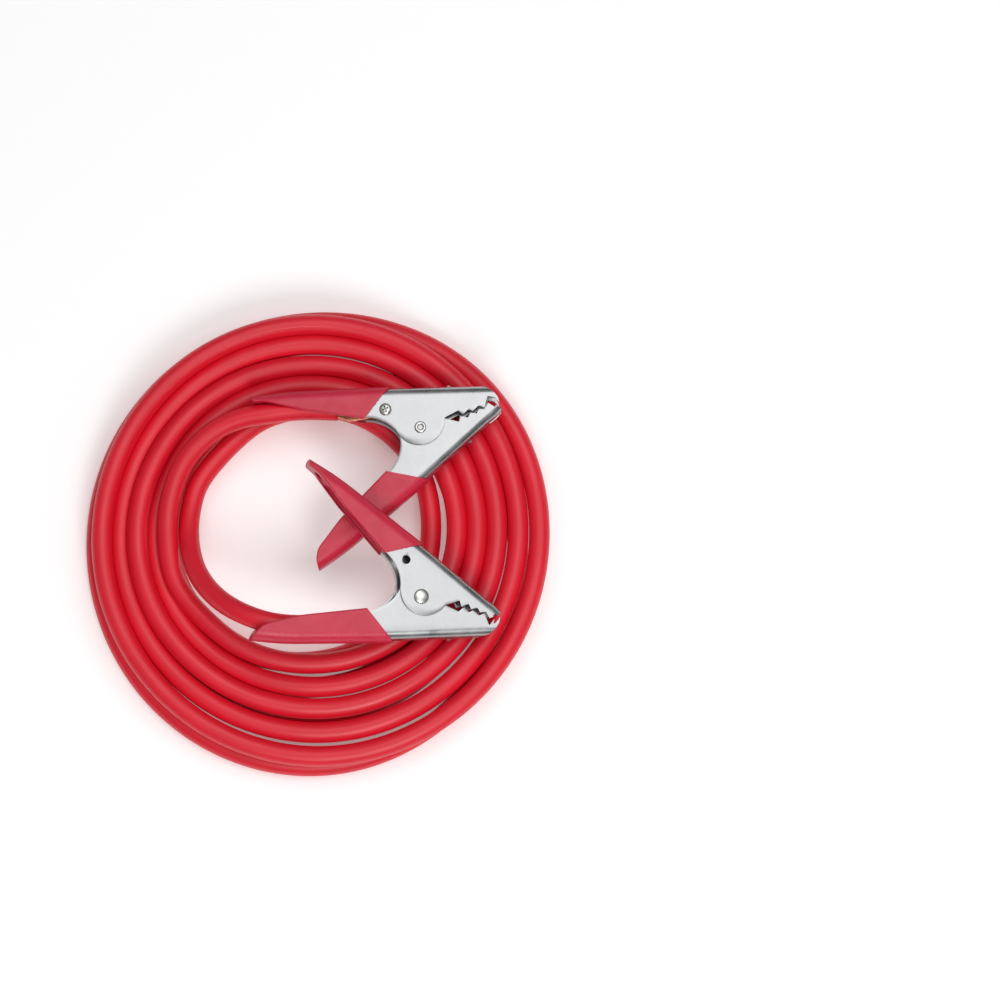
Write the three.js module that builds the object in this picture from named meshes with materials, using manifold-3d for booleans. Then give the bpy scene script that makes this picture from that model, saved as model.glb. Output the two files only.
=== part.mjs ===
// Car jumper cable, one lead: a heavy cable wound into a flat two-layer coil, with a spring clamp on
// each end. Clamp 1 lies on the coil, and clamp 2 lies turned over with one handle across clamp 1.
// Millimetres, +Z up, origin on the floor under the middle of the coil.

import * as THREE from 'three';
import { mergeVertices } from 'three/addons/utils/BufferGeometryUtils.js';
import Module from 'manifold-3d';

const wasm = await Module();
wasm.setup();

// Cable and coil
const CABLE_D = 15.6;
const COIL_OUTER_R = 176.5;
const COIL_INNER_R = 78.5;
const COIL_LAYERS = 2;
const TOUCH = 0.3; // gap kept between solids that touch

// Clamp sheet metal: each half is a U-channel, closed along its spine
const SHEET = 1.8;
const CHANNEL_W = 20;
const SPINE_R = 7;
const GRIP_T = 1.2;

// Clamp half, side view: x runs from the pivot to the nose, y towards the half's own side
const EAR = { x: 1.5, y: 5.5, r: 18.7 };
const KNEE = { x: -9.1, y: 36.9 };
const KNEE_BLEND = 13;
const NOSE_START = { x: 50.2, y: 14.4 };
const HANDLE_BEND = { x: -86.8, y: 63.9 };
const HANDLE_END = { x: -108.4, y: 68.6 };
const HANDLE_TIP_IN = { x: -100.5, y: 63.8 };
const HANDLE_MID = { x: -76, y: 46.9 };
const HANDLE_ROOT = { x: -35.6, y: 23 };
const NOTCH_PULL = { x: -19.2, y: 15 };
const EAR_BACK = { x: -16.7, y: 0 };
const EAR_FRONT = { x: 19.4, y: 0 };
const GRIP_TOP_X = -9.4;
const PLAIN_EDGE = { root: HANDLE_ROOT, mid: HANDLE_MID, tipIn: HANDLE_TIP_IN };
// The grip on the handle nearer the viewer bellies out past the steel
const WIDE_EDGE = { root: { x: -35.6, y: 22.4 }, mid: { x: -80, y: 42.6 }, tipIn: { x: -104, y: 57.4 } };

// Teeth from the nose back to the ear. The cable jaw's nose hooks past the middle line.
const CABLE_JAW_NOSE = { x: 62.4, y: -1, pull: { x: 61, y: 10 } };
const CABLE_JAW_TEETH = [
  [61.8, -5.2], [59.9, 0.4], [55.5, 3.3], [50, -3.9], [46.3, -1], [40.7, -3.3], [38.4, -0.8],
  [33, -2.8], [30.8, 1.2],
];
const FREE_JAW_NOSE = { x: 61.8, y: 9.2, pull: { x: 58.5, y: 12.5 } };
const FREE_JAW_TEETH = [
  [60.2, 6.2], [58.9, 5.2], [57.7, 6.4], [54.1, 1.3], [50, 5], [45.8, 3.1], [43, 5.8], [38.9, 3.1],
  [35.8, 6.2], [31, 2.6], [28.4, 6.6],
];
const DIMPLE = { x: 31, r: 4.2, rise: 2.2 };

// Pivot rivet, torsion spring, screw and the conductor under it
const RIVET = { shankR: 3, domeR: 5.6, domeH: 1.9, rollR: 4.4, rollH: 1.2, boreR: 1.8, boreDepth: 5 };
const SPRING = { wireR: 1.4, coilR: 6.6, armX: -30 };
const SCREW = { x: -19.2, y: 22.4, headR: 4.5, headH: 2.6, shankR: 2.2 };
const CROSS = { width: 1.2, length: 5, depth: 1.4 };
const SCREW_HOLE_R = 3.2;
const CONDUCTOR_R = 3.6;
const JACKET_END = { x: -52, y: 37 };

// Where the clamps lie: heading turns about +Z, pitch lowers the nose
const CLAMP_1 = { x: 78.3, y: 78.1, heading: 22.1, pitch: 0 };
const CLAMP_2 = { x: 77.2, y: -51.1, z: 57.7, heading: -17.2, pitch: 14.5 };

// Cable routes from the coil to the clamps, chosen by hand
const LEAD_1_ROUTE = [
  [-104.8, -36, 30], [-111.4, 0, 36.5], [-108.8, 29, 38.5], [-97, 58, 39.5], [-77, 78, 41.5],
  [-56.5, 87, 44], [-34.9, 90.6, 45.6], [-10, 93.2, 45.8], [16.2, 92.8, 45.8],
];
const LEAD_2_ROUTE = [
  [-87.5, 44, 24.2], [-94.9, 20, 26.8], [-95.2, -4.2, 34], [-88.2, -29.6, 48.5], [-73.8, -50, 63],
  [-54, -64.6, 76], [-31, -73.2, 80.8], [-7.4, -74.6, 75.9], [17.9, -71.5, 69.7],
];
const LEAD_SIDES = 10;
const LEAD_STEPS = 16;
const RING_SEGMENTS = 72;
const TURNED_SEGMENTS = 24;
const EAR_STEPS = 9;
const ROUND_STEPS = 4;

// Worked out from the values above
const CABLE_R = CABLE_D / 2;
const COIL_H = COIL_LAYERS * CABLE_D;
const HALF_SHIFT = (SHEET + TOUCH) / 2; // each half is set off by this so that one ear laps the other
const INNER_W = CHANNEL_W - 2 * SHEET;
const METAL_HALF = CHANNEL_W / 2 + HALF_SHIFT;
const GRIP_OUT = TOUCH + GRIP_T;
const CLAMP_1_Z = COIL_H + TOUCH + METAL_HALF + TOUCH + RIVET.domeH; // it lies on the rivet's dome
const FAR = 60; // reach of the cutting shapes past the metal

const RED = { color: 0xc8283c, roughness: 0.45, metalness: 0 };
const STEEL = { color: 0xd6d8da, roughness: 0.3, metalness: 0.9 };
const DARK_STEEL = { color: 0x8d9094, roughness: 0.35, metalness: 0.9 };
const COPPER = { color: 0xc58468, roughness: 0.4, metalness: 0.9 };

function solid(geometry) {
  geometry.deleteAttribute('normal');
  geometry.deleteAttribute('uv');
  const merged = mergeVertices(geometry, 1e-4);
  const triVerts = Uint32Array.from(merged.index.array);
  const vertProperties = Float32Array.from(merged.attributes.position.array);
  return new wasm.Manifold(new wasm.Mesh({ numProp: 3, vertProperties, triVerts }));
}

function geometryOf(body) {
  const { vertProperties, triVerts } = body.getMesh();
  const geometry = new THREE.BufferGeometry();
  geometry.setAttribute('position', new THREE.BufferAttribute(vertProperties, 3));
  geometry.setIndex(new THREE.BufferAttribute(triVerts, 1));
  return geometry;
}

function named(name, body, look) {
  const mesh = new THREE.Mesh(geometryOf(body), new THREE.MeshStandardMaterial(look));
  mesh.name = name;
  return mesh;
}

function prism(shape, z0, z1, curveSegments = 5) {
  const geometry = new THREE.ExtrudeGeometry(shape, { depth: z1 - z0, bevelEnabled: false, curveSegments });
  return solid(geometry.translate(0, 0, z0));
}

function rod(radius, z0, z1, x = 0, y = 0, sides = 16) {
  const geometry = new THREE.CylinderGeometry(radius, radius, z1 - z0, sides);
  return solid(geometry.rotateX(Math.PI / 2).translate(x, y, (z0 + z1) / 2));
}

function turned(profile, segments) {
  const points = profile.map(([r, z]) => new THREE.Vector2(r, z));
  return solid(new THREE.LatheGeometry(points, segments).rotateX(Math.PI / 2));
}

// A tube along points, as an extruded section
function tube(points, radius, sides, steps) {
  const section = new THREE.Shape();
  for (let i = 0; i < sides; i++) {
    const turn = (i / sides) * 2 * Math.PI;
    const at = [radius * Math.cos(turn), radius * Math.sin(turn)];
    if (i === 0) section.moveTo(...at);
    else section.lineTo(...at);
  }
  section.closePath();
  const path = new THREE.CatmullRomCurve3(points.map((p) => new THREE.Vector3(...p)), false, 'centripetal');
  return solid(new THREE.ExtrudeGeometry(section, { steps, bevelEnabled: false, extrudePath: path }));
}

// The unit direction from a to b, and its left-hand normal
function ways(a, b) {
  const length = Math.hypot(b.x - a.x, b.y - a.y);
  const way = { x: (b.x - a.x) / length, y: (b.y - a.y) / length };
  return { way, left: { x: -way.y, y: way.x } };
}

function along(a, b, distance) {
  const { way } = ways(a, b);
  return { x: a.x + way.x * distance, y: a.y + way.y * distance };
}

// Spine of a half, from past the handle's end to past the nose, moved out by grow
function spinePoints(grow) {
  const corners = [HANDLE_END, HANDLE_BEND, KNEE, NOSE_START];
  const lines = corners.slice(1).map((b, i) => {
    const { way, left } = ways(corners[i], b);
    return { p: { x: corners[i].x + left.x * grow, y: corners[i].y + left.y * grow }, way };
  });
  const meet = (m, n) => {
    const cross = m.way.x * n.way.y - m.way.y * n.way.x;
    const t = ((n.p.x - m.p.x) * n.way.y - (n.p.y - m.p.y) * n.way.x) / cross;
    return { x: m.p.x + m.way.x * t, y: m.p.y + m.way.y * t };
  };
  const bend = meet(lines[0], lines[1]);
  const knee = meet(lines[1], lines[2]);
  return [along(bend, lines[0].p, FAR * 1.5), bend, knee, along(knee, NOSE_START, FAR * 2.5)];
}

// The block that a half is bent round: the spine on one side, and far past the metal on the others
function spineShape(grow) {
  const [end, bend, knee, nose] = spinePoints(grow);
  const shape = new THREE.Shape();
  shape.moveTo(end.x, end.y);
  const intoBend = along(bend, end, KNEE_BLEND);
  const outOfBend = along(bend, knee, KNEE_BLEND);
  shape.lineTo(intoBend.x, intoBend.y);
  shape.quadraticCurveTo(bend.x, bend.y, outOfBend.x, outOfBend.y);
  const intoKnee = along(knee, bend, KNEE_BLEND);
  const outOfKnee = along(knee, nose, KNEE_BLEND);
  shape.lineTo(intoKnee.x, intoKnee.y);
  shape.quadraticCurveTo(knee.x, knee.y, outOfKnee.x, outOfKnee.y);
  shape.lineTo(nose.x, nose.y);
  shape.lineTo(nose.x, -2 * FAR);
  shape.lineTo(end.x, -2 * FAR);
  shape.closePath();
  return shape;
}

// That block with the round corners of the bent sheet, shrunk by inset on every side
function bentBlock(inset) {
  const bevel = SPINE_R - inset;
  const depth = CHANNEL_W - 2 * SPINE_R;
  const geometry = new THREE.ExtrudeGeometry(spineShape(0), {
    depth, bevelEnabled: true, bevelThickness: bevel, bevelSize: bevel, bevelOffset: -SPINE_R,
    bevelSegments: 3, curveSegments: 3,
  });
  return solid(geometry.translate(0, 0, -depth / 2));
}

function halfOutline(nose, teeth) {
  const shape = new THREE.Shape();
  shape.moveTo(HANDLE_END.x, HANDLE_END.y + FAR);
  shape.lineTo(NOSE_START.x, HANDLE_END.y + FAR);
  shape.lineTo(NOSE_START.x, NOSE_START.y);
  shape.quadraticCurveTo(nose.pull.x, nose.pull.y, nose.x, nose.y);
  for (const [x, y] of teeth) shape.lineTo(x, y);
  shape.lineTo(EAR_FRONT.x, EAR_FRONT.y);
  const from = Math.atan2(EAR_FRONT.y - EAR.y, EAR_FRONT.x - EAR.x);
  const to = Math.atan2(EAR_BACK.y - EAR.y, EAR_BACK.x - EAR.x);
  for (let i = 1; i < EAR_STEPS; i++) {
    const turn = from + ((to - from) * i) / EAR_STEPS;
    shape.lineTo(EAR.x + EAR.r * Math.cos(turn), EAR.y + EAR.r * Math.sin(turn));
  }
  shape.lineTo(EAR_BACK.x, EAR_BACK.y);
  shape.quadraticCurveTo(NOTCH_PULL.x, NOTCH_PULL.y, HANDLE_ROOT.x, HANDLE_ROOT.y);
  shape.lineTo(HANDLE_MID.x, HANDLE_MID.y);
  shape.lineTo(HANDLE_TIP_IN.x, HANDLE_TIP_IN.y);
  shape.lineTo(HANDLE_END.x, HANDLE_END.y);
  shape.closePath();
  return shape;
}

// One stamped half in clamp coordinates, before it is set off sideways by HALF_SHIFT
function stampedHalf(nose, teeth) {
  const wall = bentBlock(0).subtract(bentBlock(SHEET));
  const spine = ways(KNEE, NOSE_START);
  const reach = (DIMPLE.x - KNEE.x) / spine.way.x;
  const foot = along(KNEE, NOSE_START, reach);
  const ball = (DIMPLE.r ** 2 + DIMPLE.rise ** 2) / (2 * DIMPLE.rise);
  const dip = ball - DIMPLE.rise;
  const centre = { x: foot.x - spine.left.x * dip, y: foot.y - spine.left.y * dip };
  const dome = solid(new THREE.SphereGeometry(ball, 14, 10).translate(centre.x, centre.y, 0));
  const dimple = dome.subtract(bentBlock(SHEET / 2));
  return wall
    .intersect(prism(halfOutline(nose, teeth), -CHANNEL_W, CHANNEL_W))
    .add(dimple)
    .subtract(rod(RIVET.shankR + TOUCH, -CHANNEL_W, CHANNEL_W))
    .subtract(rod(SCREW_HOLE_R, 0, CHANNEL_W, SCREW.x, SCREW.y));
}

// The bent block made thicker by grow, on the spine and on both sides
function grownBlock(grow) {
  const bevel = SPINE_R + grow;
  const depth = CHANNEL_W - 2 * SPINE_R;
  const geometry = new THREE.ExtrudeGeometry(spineShape(grow), {
    depth, bevelEnabled: true, bevelThickness: bevel, bevelSize: bevel, bevelOffset: -bevel,
    bevelSegments: 3, curveSegments: 3,
  });
  return solid(geometry.translate(0, 0, -depth / 2));
}

// The handle from its slanted root line to its tip, grown by grow, with the root line moved by past
function handleOutline({ root, mid, tipIn }, grow, past) {
  const inner = ways(root, mid).left;
  const tip = ways(mid, tipIn).left;
  const slope = (GRIP_TOP_X - HANDLE_ROOT.x) / (KNEE.y - HANDLE_ROOT.y);
  const low = { x: root.x + inner.x * grow, y: root.y + inner.y * grow };
  const top = HANDLE_END.y + FAR;
  const shape = new THREE.Shape();
  shape.moveTo(low.x, low.y);
  if (past > 0) shape.lineTo(low.x + past, low.y - past);
  shape.lineTo(low.x + past + slope * (top - low.y), top);
  shape.lineTo(HANDLE_END.x - grow, top);
  shape.lineTo(HANDLE_END.x - grow, HANDLE_END.y - grow);
  shape.lineTo(tipIn.x + tip.x * grow, tipIn.y + tip.y * grow);
  shape.lineTo(mid.x + inner.x * grow, mid.y + inner.y * grow);
  shape.closePath();
  return shape;
}

// The open side of the channel, where the cable comes out between the sleeve's two lips
function mouthShape(drop) {
  const shape = new THREE.Shape();
  shape.moveTo(FAR, HANDLE_ROOT.y - drop);
  shape.lineTo(HANDLE_ROOT.x, HANDLE_ROOT.y - drop);
  shape.lineTo(HANDLE_MID.x, HANDLE_MID.y - drop);
  shape.lineTo(HANDLE_TIP_IN.x, HANDLE_TIP_IN.y - drop);
  shape.lineTo(HANDLE_TIP_IN.x - FAR, HANDLE_TIP_IN.y - drop);
  shape.lineTo(HANDLE_TIP_IN.x - FAR, -FAR);
  shape.lineTo(FAR, -FAR);
  shape.closePath();
  return shape;
}

// Dipped vinyl sleeve: a skin round the handle out to this edge, open where the channel is open
function grip(edge) {
  const part = (outline) => prism(outline, -CHANNEL_W, CHANNEL_W);
  const skin = grownBlock(GRIP_OUT).intersect(part(handleOutline(edge, GRIP_OUT, 0)));
  const room = grownBlock(TOUCH).intersect(part(handleOutline(PLAIN_EDGE, TOUCH, FAR)));
  const mouth = INNER_W / 2 + TOUCH;
  const belly = CHANNEL_W / 2 + TOUCH;
  return skin
    .subtract(room)
    .subtract(prism(mouthShape(0), -mouth, mouth))
    .subtract(prism(mouthShape(2 * GRIP_OUT), -belly, belly));
}

// Hollow rivet through both ears: a domed head below, a rolled end above
function rivet() {
  const low = -METAL_HALF - TOUCH;
  const high = METAL_HALF + TOUCH;
  return turned([
    [0, low - RIVET.domeH], [RIVET.domeR * 0.6, low - RIVET.domeH * 0.8],
    [RIVET.domeR * 0.92, low - RIVET.domeH * 0.4], [RIVET.domeR, low], [RIVET.shankR, low],
    [RIVET.shankR, high], [RIVET.rollR, high], [RIVET.rollR * 0.97, high + RIVET.rollH * 0.7],
    [RIVET.rollR * 0.8, high + RIVET.rollH], [RIVET.boreR, high + RIVET.rollH * 0.5],
    [RIVET.boreR, high - RIVET.boreDepth], [0, high - RIVET.boreDepth],
  ], TURNED_SEGMENTS);
}

// Torsion spring round the rivet, with one arm up each handle
function spring() {
  const half = CHANNEL_W / 2 - SHEET - HALF_SHIFT - TOUCH;
  const inner = SPRING.coilR - SPRING.wireR;
  const outer = SPRING.coilR + SPRING.wireR;
  const wall = [[inner, -half], [outer, -half], [outer, half], [inner, half], [inner, -half]];
  const coil = turned(wall, TURNED_SEGMENTS);
  const spine = ways(HANDLE_BEND, KNEE);
  const inset = SPINE_R - TOUCH; // clear of the round corner inside the channel
  const t = (SPRING.armX - HANDLE_BEND.x + spine.left.x * inset) / spine.way.x;
  const foot = along(HANDLE_BEND, KNEE, t);
  const end = { x: foot.x - spine.left.x * inset, y: foot.y - spine.left.y * inset };
  const level = half - SPRING.wireR;
  const arm = (side) => tube(
    [[0, side * SPRING.coilR, -side * level], [end.x / 2, (side * (end.y + SPRING.coilR)) / 2, -side * level],
      [end.x, side * end.y, -side * level]], SPRING.wireR, 8, 4);
  return coil.add(arm(1)).add(arm(-1));
}

// Pan-head screw with a cross slot, through the cable jaw's outer ear into the conductor
function screw() {
  const seat = METAL_HALF + TOUCH;
  const tip = seat - SHEET - 2 * TOUCH - 2 * CONDUCTOR_R;
  const body = turned([
    [0, tip], [SCREW.shankR, tip], [SCREW.shankR, seat], [SCREW.headR, seat],
    [SCREW.headR, seat + SCREW.headH * 0.45], [SCREW.headR * 0.8, seat + SCREW.headH * 0.85],
    [SCREW.headR * 0.45, seat + SCREW.headH], [0, seat + SCREW.headH],
  ], TURNED_SEGMENTS);
  const bar = (w, l) => solid(new THREE.BoxGeometry(w, l, 2 * CROSS.depth)
    .translate(0, 0, seat + SCREW.headH));
  return body
    .subtract(bar(CROSS.width, CROSS.length))
    .subtract(bar(CROSS.length, CROSS.width))
    .translate([SCREW.x, SCREW.y, 0]);
}

// Bare copper strands from the jacket's end to the screw
function conductor() {
  const level = METAL_HALF - SHEET - TOUCH - CONDUCTOR_R;
  const past = CONDUCTOR_R + SCREW.shankR;
  const strands = tube([
    [JACKET_END.x + 3 * TOUCH, JACKET_END.y, HALF_SHIFT],
    [JACKET_END.x + 10, JACKET_END.y - 4, HALF_SHIFT + 1],
    [SCREW.x - past, SCREW.y + 2, level - 0.3], [SCREW.x, SCREW.y, level - 0.1],
    [SCREW.x + past, SCREW.y - 1, level],
  ], CONDUCTOR_R, 10, 10);
  return strands.subtract(rod(SCREW.shankR + TOUCH, -CHANNEL_W, CHANNEL_W, SCREW.x, SCREW.y));
}

// A clamp's pieces, placed by heading and pitch. Flipped clamps lie on their screw side.
function clamp(name, { x, y, z, heading, pitch }, flipped) {
  const group = new THREE.Group();
  group.position.set(x, y, z);
  const turn = new THREE.Matrix4().makeRotationZ(THREE.MathUtils.degToRad(heading));
  turn.multiply(new THREE.Matrix4().makeRotationY(THREE.MathUtils.degToRad(pitch)));
  if (flipped) turn.multiply(new THREE.Matrix4().makeRotationX(Math.PI));
  group.quaternion.setFromRotationMatrix(turn);
  const cableSide = new THREE.Group();
  cableSide.position.z = HALF_SHIFT;
  cableSide.add(named(`${name}_cable_jaw`, stampedHalf(CABLE_JAW_NOSE, CABLE_JAW_TEETH), STEEL));
  cableSide.add(named(`${name}_cable_grip`, grip(flipped ? WIDE_EDGE : PLAIN_EDGE), RED));
  const freeSide = new THREE.Group();
  freeSide.rotation.x = Math.PI;
  freeSide.position.z = -HALF_SHIFT;
  freeSide.add(named(`${name}_free_jaw`, stampedHalf(FREE_JAW_NOSE, FREE_JAW_TEETH), STEEL));
  freeSide.add(named(`${name}_free_grip`, grip(flipped ? PLAIN_EDGE : WIDE_EDGE), RED));
  group.add(cableSide, freeSide);
  group.add(named(`${name}_rivet`, rivet(), DARK_STEEL));
  group.add(named(`${name}_spring`, spring(), DARK_STEEL));
  group.add(named(`${name}_screw`, screw(), DARK_STEEL));
  group.add(named(`${name}_conductor`, conductor(), COPPER));
  return group;
}

function coilRing(grow) {
  const round = CABLE_R;
  const profile = [];
  const corner = (cx, cz, from) => {
    for (let i = 0; i <= ROUND_STEPS; i++) {
      const a = from - (i / ROUND_STEPS) * (Math.PI / 2);
      profile.push([cx + (round + grow) * Math.cos(a), cz + (round + grow) * Math.sin(a)]);
    }
  };
  corner(COIL_INNER_R + round, COIL_H - round, Math.PI);
  corner(COIL_OUTER_R - round, COIL_H - round, Math.PI / 2);
  corner(COIL_OUTER_R - round, round, 0);
  corner(COIL_INNER_R + round, round, -Math.PI / 2);
  profile.push(profile[0]);
  profile.reverse();
  return turned(profile, RING_SEGMENTS);
}

const jumperCable = new THREE.Group();
const kept = coilRing(TOUCH);
jumperCable.add(named('cable_coil', coilRing(0), RED));
for (const [name, points] of [['cable_lead_1', LEAD_1_ROUTE], ['cable_lead_2', LEAD_2_ROUTE]]) {
  jumperCable.add(named(name, tube(points, CABLE_R, LEAD_SIDES, LEAD_STEPS).subtract(kept), RED));
}
jumperCable.add(clamp('clamp_1', { ...CLAMP_1, z: CLAMP_1_Z }, false));
jumperCable.add(clamp('clamp_2', CLAMP_2, true));

export default jumperCable;
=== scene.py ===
# %% [markdown]
# # A coiled jumper cable in Blender
# The object is one lead of a heavy jumper cable: a red cable wound into a flat coil, with a spring
# clamp on each end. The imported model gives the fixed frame, in metres, and this script makes the
# fine surfaces and the finishes around it.

# %% Load the frame
import math

import bpy
import numpy as np
from mathutils import Matrix, Vector


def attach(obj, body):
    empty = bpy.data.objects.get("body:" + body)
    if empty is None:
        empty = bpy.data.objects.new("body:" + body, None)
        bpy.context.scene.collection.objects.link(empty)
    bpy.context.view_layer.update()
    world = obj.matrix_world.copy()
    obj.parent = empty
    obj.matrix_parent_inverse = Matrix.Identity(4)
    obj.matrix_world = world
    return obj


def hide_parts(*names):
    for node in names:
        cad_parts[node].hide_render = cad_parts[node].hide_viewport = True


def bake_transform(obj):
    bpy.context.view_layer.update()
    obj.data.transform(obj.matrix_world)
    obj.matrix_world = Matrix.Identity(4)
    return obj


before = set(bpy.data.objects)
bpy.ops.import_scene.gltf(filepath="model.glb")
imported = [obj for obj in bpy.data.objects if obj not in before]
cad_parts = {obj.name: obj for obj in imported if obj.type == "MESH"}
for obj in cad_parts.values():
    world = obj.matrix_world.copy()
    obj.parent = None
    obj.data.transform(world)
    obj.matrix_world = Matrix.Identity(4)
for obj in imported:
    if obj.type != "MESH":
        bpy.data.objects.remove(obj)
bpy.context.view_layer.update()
MM = 0.001

# %% [markdown]
# The camera looks down at the coil, ten degrees off the vertical, through a long lens, so round
# things stay round. The scale is a known width of floor across the picture.

# %% The camera
VIEW_ELEVATION = math.radians(80)
VIEW_DISTANCE = 3.0
SEEN_WIDTH = 0.76
AIM = Vector((0.1379, 0.0326, 0.0))

camera_data = bpy.data.cameras.new("camera")
camera_data.lens = camera_data.sensor_width * VIEW_DISTANCE / SEEN_WIDTH
camera = bpy.data.objects.new("camera", camera_data)
back = Vector((0, -math.cos(VIEW_ELEVATION), math.sin(VIEW_ELEVATION)))
camera.location = AIM + back * VIEW_DISTANCE
camera.rotation_euler = (-back).to_track_quat("-Z", "Y").to_euler()
bpy.context.scene.collection.objects.link(camera)
bpy.context.scene.camera = camera
print(f"camera: {VIEW_DISTANCE} m away, {camera_data.lens:.0f} mm lens")

# %% [markdown]
# Every piece here is worked out as whole arrays of points, because a formula over a grid says
# exactly what the shape is and can be changed in one place. Two helpers turn such arrays into a
# mesh. One puts points and faces into an object. The other joins a grid of points, row by row,
# into faces, and can close each row on itself, as round a tube.


# %% Meshes from arrays
def mesh_piece(name, points, faces):
    """An object, shaded smooth, from an array of points in metres and an array of faces."""
    data = bpy.data.meshes.new(name)
    data.from_pydata(np.asarray(points).reshape(-1, 3).tolist(), [], [list(f) for f in faces])
    data.validate()
    data.polygons.foreach_set("use_smooth", [True] * len(data.polygons))
    piece = bpy.data.objects.new(name, data)
    bpy.context.scene.collection.objects.link(piece)
    return piece


def grid_faces(rows, columns, closed=False):
    """Quads between neighbours of a rows by columns grid, numbered row by row. In a closed grid
    each row's last point also joins its first."""
    r, c = np.arange(rows - 1), np.arange(columns if closed else columns - 1)
    r, c = [a.ravel() for a in np.meshgrid(r, c, indexing="ij")]
    r2, c2 = r + 1, (c + 1) % columns
    quads = [r * columns + c, r * columns + c2, r2 * columns + c2, r2 * columns + c]
    return np.stack(quads, axis=1)


print("faces in a grid of 3 by 4 points:", len(grid_faces(3, 4)))


# %% [markdown]
# The cable is one piece from clamp to clamp. Its ends follow the two lead routes of the solid
# model, point for point. Between them it lies in two layers: the lower one winds outwards from
# the middle, climbs at the outer edge, and the upper one winds back inwards. The turns are given
# as a radius and a height at angles that count clockwise from the bottom of the picture. On the
# left the turns lie closer than a diameter, so every second one rides up in the groove.

# %% The cable's route
CABLE_D = 15.6 * MM
LOW, HIGH = CABLE_D / 2, CABLE_D * 1.5
PIXEL = 0.76 * MM  # the width of floor that one pixel of the photograph shows

LEAD_1_ROUTE = MM * np.array([
    [-104.8, -36, 30], [-111.4, 0, 36.5], [-108.8, 29, 38.5], [-97, 58, 39.5], [-77, 78, 41.5],
    [-56.5, 87, 44], [-34.9, 90.6, 45.6], [-10, 93.2, 45.8], [16.2, 92.8, 45.8],
])
LEAD_2_ROUTE = MM * np.array([
    [-87.5, 44, 24.2], [-94.9, 20, 26.8], [-95.2, -4.2, 34], [-88.2, -29.6, 48.5], [-73.8, -50, 63],
    [-54, -64.6, 76], [-31, -73.2, 80.8], [-7.4, -74.6, 75.9], [17.9, -71.5, 69.7],
])
GROOVE, RIDE = 20.9 * MM, 31.2 * MM  # a turn sunk between two others, or riding on two
COIL_TURNS = [
    # angle, radius in photo pixels, height
    (150, 130, 22 * MM), (180, 131.5, 22 * MM), (225, 125, 20 * MM), (270, 112.5, 15 * MM),
    (315, 114, 10 * MM), (360, 121, LOW), (405, 136, LOW), (450, 148, LOW), (495, 150, LOW),
    (540, 150, LOW), (630, 141, LOW), (720, 147, LOW), (810, 172, LOW), (900, 176, LOW),
    (990, 168, LOW), (1080, 176, LOW), (1170, 196, LOW), (1260, 200, LOW), (1350, 199, LOW),
    (1440, 225, LOW), (1530, 220, LOW), (1620, 222, 9 * MM), (1665, 225, 16 * MM),
    (1710, 220.5, HIGH), (1800, 218, HIGH), (1890, 212, RIDE), (1980, 214.3, 27.5 * MM),
    (2070, 199.5, HIGH), (2160, 194.5, HIGH), (2250, 194.5, HIGH), (2340, 195, HIGH),
    (2430, 178.5, HIGH), (2520, 170.8, HIGH), (2610, 177, RIDE), (2700, 173.5, HIGH),
    (2790, 158.5, HIGH), (2880, 149.5, 24 * MM), (2970, 160.5, GROOVE), (3060, 153, HIGH),
    (3150, 138.5, HIGH), (3240, 126, HIGH), (3285, 135, 28 * MM),
]
TURN_STEP = 15.0  # degrees between the coil's points
CURVE_STEPS = 24  # points between two knots, before they are spaced evenly
RING_SPACING = 4 * MM
print(f"the turns go round {(COIL_TURNS[-1][0] - COIL_TURNS[0][0]) / 360:.1f} times")

# %% [markdown]
# The knots are joined by smooth curves. Along the coil, radius and height are each a cubic in
# the angle, so the turns stay round between knots. The whole route then goes through a
# centripetal Catmull-Rom curve, which makes no loops where knots are unevenly spaced. It is
# walked at an even spacing, so that the rings of the tube are all alike.


# %% Curves through the knots
def smooth_through(known_at, known, at):
    """Values at `at` on a curve through known points: cubic pieces with mean slopes at the knots."""
    slope = np.gradient(known, known_at)
    i = np.clip(np.searchsorted(known_at, at) - 1, 0, len(known_at) - 2)
    span = known_at[i + 1] - known_at[i]
    t = (at - known_at[i]) / span
    h00, h10 = 2 * t**3 - 3 * t**2 + 1, t**3 - 2 * t**2 + t
    h01, h11 = 3 * t**2 - 2 * t**3, t**3 - t**2
    return h00 * known[i] + h10 * span * slope[i] + h01 * known[i + 1] + h11 * span * slope[i + 1]


def coil_points():
    """Points at even steps of angle along the turns, from the angle, radius and height of the knots."""
    angle, radius, height = np.array(COIL_TURNS).T
    at = np.arange(angle[0], angle[-1] + 1, TURN_STEP)
    r = smooth_through(angle, radius * PIXEL, at)
    z = np.maximum(smooth_through(angle, height, at), LOW)
    turn = np.radians(at)
    return np.stack([-r * np.sin(turn), -r * np.cos(turn), z], axis=1)


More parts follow.
